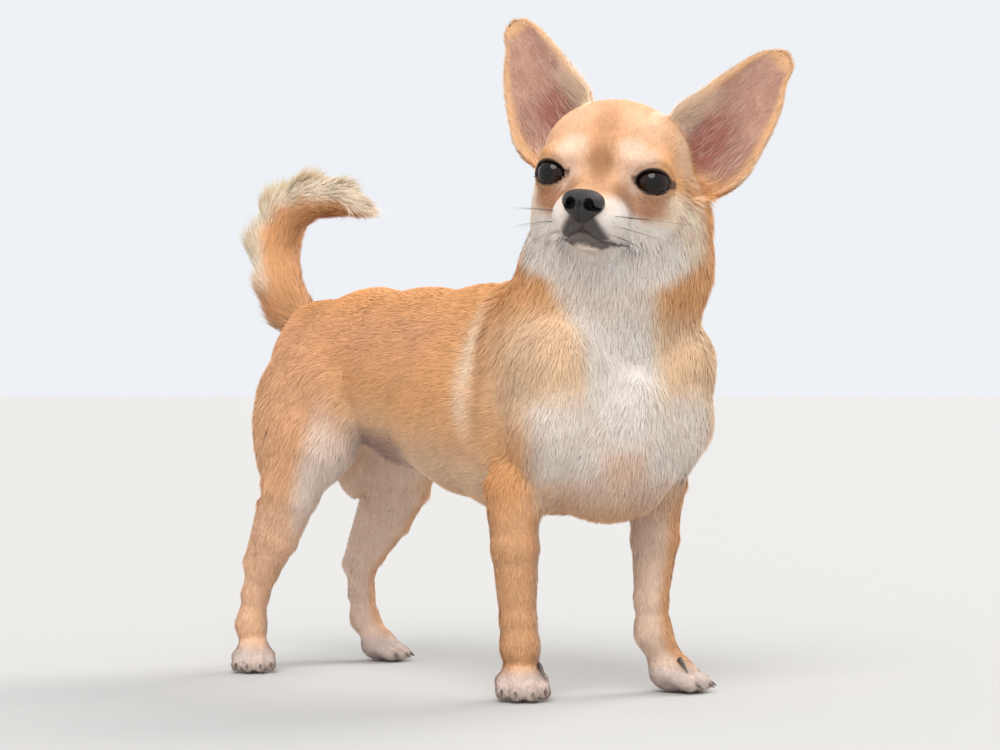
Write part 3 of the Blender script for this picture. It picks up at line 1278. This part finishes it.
def make_coat(name, kind, chosen, share=1.0):
    """One mesh of tufts on the chosen triangles of the skin."""
    picked = np.flatnonzero(chosen & ~skin_hidden)
    shape = coat_shape(triangle_middles[picked], triangle_normals[picked], triangle_parts[picked])
    length, tip, width, dense = shape
    number = np.floor(areas[picked] * dense * share + rng.random(len(picked))).astype(int)
    owner = np.repeat(np.arange(len(picked)), number)
    total = len(owner)
    a, b = np.sort(rng.random((2, total)), axis=0)
    weights = np.stack([a, b - a, 1 - b], 1)
    corners = skin_triangles[picked[owner]]
    root, normal, lie = ((values[corners] * weights[..., None]).sum(1)
                         for values in (skin_vertices, skin_normals, lies))
    normal = unit(normal)
    turn = 0.16 * noise(root, 11, 11) + 0.13 * rng.standard_normal(total)
    lie = unit(lie - normal * (lie * normal).sum(1, keepdims=True))
    across = np.cross(normal, lie)
    lie = lie * np.cos(turn)[:, None] + across * np.sin(turn)[:, None]
    across = np.cross(normal, lie)
    clump = 1 + 0.12 * noise(root, 5, 12)
    long = length[owner] * (0.72 + 0.5 * rng.random(total)) * clump
    rise = tip[owner] * (0.55 + 0.75 * rng.random(total)) * clump
    wide = width[owner] * (0.75 + 0.5 * rng.random(total))
    run = np.sqrt(np.maximum(long ** 2 - rise ** 2, 0.1))
    bend = rng.standard_normal(total) * 0.05
    twist = rng.standard_normal(total) * 0.3
    side = unit(across * np.cos(twist)[:, None] + normal * np.sin(twist)[:, None])
    sunk = root - normal * ROOT_SUNK

    def along_blade(ahead, lifted, aside):
        return sunk + lie * ahead[:, None] + normal * lifted[:, None] + across * aside[:, None]

    middle = along_blade(run * 0.5, rise * 0.68, long * bend)
    end = along_blade(run, rise, long * bend * 2.6)
    half = side * (wide / 2)[:, None]
    vertices = np.stack([sunk - half, sunk + half, middle - half * 0.8, middle + half * 0.8, end], 1)
    first = np.arange(total)[:, None, None] * BLADE_POINTS
    piece = new_piece(name, vertices.reshape(-1, 3), (first + BLADE).reshape(-1, 3))
    mesh = piece.data
    bright = (1 + 0.07 * rng.standard_normal(total)) * (1 + 0.05 * noise(root, 4, 13))
    colour = coat_colour(root, normal) * np.clip(bright, 0.6, 1.4)[:, None]
    if kind == "ears":
        colour = tint(colour, LIGHT_HAIR, 0.45 * (rng.random(total) < 0.25))
    full = np.clip(colour[:, None] * BLADE_SHADES[:, None], 0, 0.95)
    set_colour(piece, full.reshape(-1, 3))
    soft = unit(normal + lie * 0.15 + 0.10 * rng.standard_normal((total, 3)))
    mesh.normals_split_custom_set_from_vertices(np.repeat(soft, BLADE_POINTS, axis=0).tolist())
    flat = unwrap(kind, root, normal)
    low, high = flat.min(0), flat.max(0)
    flat = 0.01 + 0.98 * (flat - low) / np.maximum(high - low, 1e-6)
    places = (flat[:, None] + BLADE_SPOTS)[:, BLADE.ravel()]
    layer = mesh.uv_layers.new(name="OFBake")
    layer.data.foreach_set("uv", places.astype(np.float32).ravel())
    mesh.materials.append(coat_finish)
    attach(piece, "root")


is_part = {name: triangle_parts == name for name in set(triangle_parts)}
trunk = is_part["torso"] | is_part["chest"] | is_part["shoulder"]
rear = triangle_middles[:, 1] > 70
right = triangle_middles[:, 0] < 0
limbs = is_part["leg"] | is_part["paw"]
make_coat("coat_head", "head", is_part["head"] | is_part["muzzle"], 0.96)
make_coat("coat_ears", "ears", is_part["ear"], 0.88)
make_coat("coat_neck", "neck", is_part["neck"])
make_coat("coat_front_right", "trunk", trunk & ~rear & right)
make_coat("coat_front_left", "trunk", trunk & ~rear & ~right, 0.95)
make_coat("coat_rear_right", "trunk", trunk & rear & right)
make_coat("coat_rear_left", "trunk", trunk & rear & ~right)
make_coat("coat_thighs", "trunk", is_part["thigh"], 0.92)
make_coat("coat_front_legs", "legs_front", limbs & ~rear, 0.9)
make_coat("coat_hind_legs", "legs_hind", limbs & rear, 0.8)
make_coat("coat_tail", "tail", is_part["tail"])


# Whiskers

WHISKER_ROWS, WHISKER_COLUMNS = 3, 4
WHISKER_POINTS, WHISKER_SIDES = 7, 3
WHISKER_RADIUS = 0.17
LIGHT_WHISKER, DARK_WHISKER = (0.42, 0.36, 0.32), (0.05, 0.04, 0.035)


def whisker_line(side, row, column):
    """Points along one whisker, from just inside the lip, swept back and sagging."""
    start = HEAD.out((42 + 3 * column - row, side * 5, -22 - 3 * row))
    back = 0.30 * (side < 0)
    aim = HEAD.turn(unit((0.02 + 0.12 * column - back, side, 0.05 - 0.16 * row)))
    root = surface_along(start, aim)
    length = 24 + 9 * rng.random() - 2.5 * column
    t = np.linspace(0, 1, WHISKER_POINTS)
    sag = HEAD.turn((-0.55, 0, -0.12 - 0.1 * row))
    return root - aim + (aim * length) * t[:, None] + sag * length * 0.55 * (t ** 2)[:, None]


def make_whiskers():
    vertices, triangles, colours = [], [], []
    for side, row, column in product(SIDES, range(WHISKER_ROWS), range(WHISKER_COLUMNS)):
        middle = whisker_line(side, row, column)
        along = unit(np.gradient(middle, axis=0))
        u = unit(np.cross(along, (0.3, 0.2, 1.0)))
        w = np.cross(u, along)
        base = len(vertices) * WHISKER_POINTS
        radius = WHISKER_RADIUS * (1.02 - np.linspace(0, 1, WHISKER_POINTS))
        i = np.arange(WHISKER_POINTS - 1)
        for k in range(WHISKER_SIDES):
            a = k * 2 * math.pi / WHISKER_SIDES
            vertices.append(middle + (u * math.cos(a) + w * math.sin(a)) * radius[:, None])
            this = base + k * WHISKER_POINTS + i
            following = base + (k + 1) % WHISKER_SIDES * WHISKER_POINTS + i
            triangles.append(np.stack([this, following, following + 1], 1))
            triangles.append(np.stack([this, following + 1, this + 1], 1))
        shade = LIGHT_WHISKER if (row + column) % 3 else DARK_WHISKER
        colours += [shade] * (WHISKER_POINTS * WHISKER_SIDES)
    piece = new_piece("whiskers", np.concatenate(vertices), np.concatenate(triangles))
    set_colour(piece, np.array(colours))
    piece.data.materials.append(coat_finish)
    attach(piece, "root")


make_whiskers()


# Pale floor and soft light

def pale_material(name, colour, roughness):
    material = bpy.data.materials.new(name)
    material.use_nodes = True
    shader = material.node_tree.nodes["Principled BSDF"]
    shader.inputs["Base Color"].default_value = (*colour, 1)
    shader.inputs["Roughness"].default_value = roughness
    return material


FLOOR_HALF = 60.0
FLOOR_DROP = 0.0004


def make_floor():
    corners = [(x * FLOOR_HALF, y * FLOOR_HALF, 0) for x, y in ((-1, -1), (1, -1), (1, 1), (-1, 1))]
    mesh = bpy.data.meshes.new("floor")
    mesh.from_pydata(corners, [], [(0, 1, 2, 3)])
    floor = bpy.data.objects.new("floor", mesh)
    floor.location = (0, 0, -FLOOR_DROP)
    bpy.context.scene.collection.objects.link(floor)
    mesh.materials.append(pale_material("pale_floor", (0.46, 0.455, 0.445), 0.9))
    return floor


def sun(name, place, angle, strength, colour):
    """A soft light that shines from a place towards the origin, with its angle in degrees."""
    data = bpy.data.lights.new(name, "SUN")
    data.angle = math.radians(angle)
    data.energy = strength
    data.color = colour
    lamp = bpy.data.objects.new(name, data)
    lamp.rotation_euler = (-Vector(place)).to_track_quat("-Z", "Y").to_euler()
    bpy.context.scene.collection.objects.link(lamp)
    return lamp


floor = make_floor()
key = sun("key", (-0.9, -0.6, 1.25), 38, 2.25, (1.0, 0.97, 0.93))
rim = sun("rim", (0.95, -0.1, 0.75), 34, 1.9, (1.0, 0.96, 0.90))

world = bpy.data.worlds.new("studio")
world.use_nodes = True
sky = world.node_tree.nodes["Background"]
sky.inputs["Color"].default_value = (0.90, 0.93, 0.97, 1)
sky.inputs["Strength"].default_value = 0.95
bpy.context.scene.world = world
bpy.context.scene.view_settings.view_transform = "Standard"
